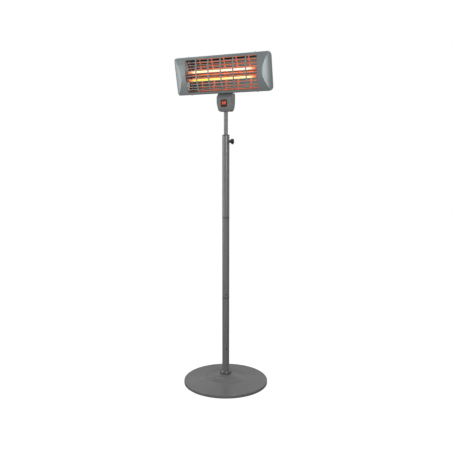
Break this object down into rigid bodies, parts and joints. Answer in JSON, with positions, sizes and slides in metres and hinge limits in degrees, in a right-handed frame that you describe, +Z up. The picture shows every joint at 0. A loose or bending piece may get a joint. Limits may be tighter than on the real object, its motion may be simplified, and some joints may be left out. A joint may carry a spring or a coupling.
{
  "type": "infrared patio heater tower",
  "caption": "Free-standing infrared patio heater with a wide tilting head, a curved grille, a switch box and a telescopic pole on a round base.",
  "frame": {"origin": "centre of the floor contact plane, on the pole's axis", "axes": "+Z up along the pole, +Y to the rear, +X to the right when facing the heater"},
  "size_m": [0.523, 0.452, 1.7322],
  "materials": {
    "stand_paint": "satin",
    "frame_paint": "satin",
    "cast_iron": "rough",
    "rubber": "matte",
    "zinc_steel": "satin",
    "black_plastic": "matte",
    "collar_plastic": "gloss",
    "polished_reflector": "polished",
    "milky_quartz": "satin",
    "heating_wire": "matte",
    "ceramic": "matte",
    "switch_red": "gloss"
  },
  "bodies": {
    "stand": {"base_cover": "stand_paint", "base_weight": "cast_iron", "foot_1": "rubber", "foot_2": "rubber", "foot_3": "rubber", "foot_4": "rubber", "base_bolt": "zinc_steel", "base_washer": "zinc_steel", "foot_spigot": "zinc_steel", "pole_collar": "collar_plastic", "lower_pole": "stand_paint", "middle_pole": "stand_paint", "upper_pole": "stand_paint", "lower_coupling": "zinc_steel", "upper_coupling": "zinc_steel", "lower_pole_screw": "zinc_steel", "middle_pole_screw": "zinc_steel", "pole_top_bush": "black_plastic", "clamp_nut": "stand_paint"},
    "clamp_pad_body": {"clamp_pad": "rubber"},
    "clamp_knob_body": {"clamp_knob": "black_plastic", "clamp_screw": "zinc_steel"},
    "mast": {"inner_tube": "stand_paint", "inner_tube_guide": "black_plastic", "mast_socket": "cast_iron", "box_front_shell": "stand_paint", "box_rear_shell": "stand_paint", "mains_gland": "black_plastic", "box_screw_left": "zinc_steel", "box_screw_right": "zinc_steel", "terminal_block": "ceramic", "switch_bezel": "black_plastic", "switch_body": "black_plastic", "tilt_fork": "stand_paint", "pivot_bolt": "zinc_steel", "pivot_nut": "zinc_steel"},
    "rocker_left_body": {"rocker_left": "switch_red"},
    "rocker_right_body": {"rocker_right": "switch_red"},
    "head": {"front_frame": "frame_paint", "guard_grille": "frame_paint", "reflector": "polished_reflector", "rear_housing": "stand_paint", "head_gland": "black_plastic", "tube_bracket_left": "zinc_steel", "tube_bracket_right": "zinc_steel", "quartz_tube_upper": "milky_quartz", "heating_coil_upper": "heating_wire", "upper_cap_left": "ceramic", "upper_cap_right": "ceramic", "quartz_tube_lower": "milky_quartz", "heating_coil_lower": "heating_wire", "lower_cap_left": "ceramic", "lower_cap_right": "ceramic", "frame_screw_upper_left": "zinc_steel", "frame_screw_lower_left": "zinc_steel", "frame_screw_upper_right": "zinc_steel", "frame_screw_lower_right": "zinc_steel", "head_lug": "stand_paint", "lug_screw_left": "zinc_steel", "lug_screw_right": "zinc_steel"}
  },
  "joints": [
    {"name": "height_slide", "type": "slide", "parent": "stand", "child": "mast", "axis": [0, 0, 1], "range_m": [-0.1, 0.19]},
    {"name": "clamp_pad_slide", "type": "slide", "parent": "stand", "child": "clamp_pad_body", "axis": [1, 0, 0], "range_m": [0, 0.0025]},
    {"name": "clamp_turn", "type": "hinge", "parent": "clamp_pad_body", "child": "clamp_knob_body", "pos_m": [0.037, 0, 1.301], "axis": [1, 0, 0], "range_deg": [0, 720]},
    {"name": "head_tilt", "type": "hinge", "parent": "mast", "child": "head", "pos_m": [0, -0.002, 1.5574], "axis": [1, 0, 0], "range_deg": [-14, 20]},
    {"name": "rocker_left_tip", "type": "hinge", "parent": "mast", "child": "rocker_left_body", "pos_m": [-0.0056, -0.02314, 1.49479], "axis": [1, 0, 0], "range_deg": [0, 16]},
    {"name": "rocker_right_tip", "type": "hinge", "parent": "mast", "child": "rocker_right_body", "pos_m": [0.0056, -0.02314, 1.49479], "axis": [1, 0, 0], "range_deg": [0, 16]}
  ],
  "couplings": [
    {"joint": "clamp_turn", "follows": "clamp_pad_slide", "rad_per_m": 5026.5}
  ]
}
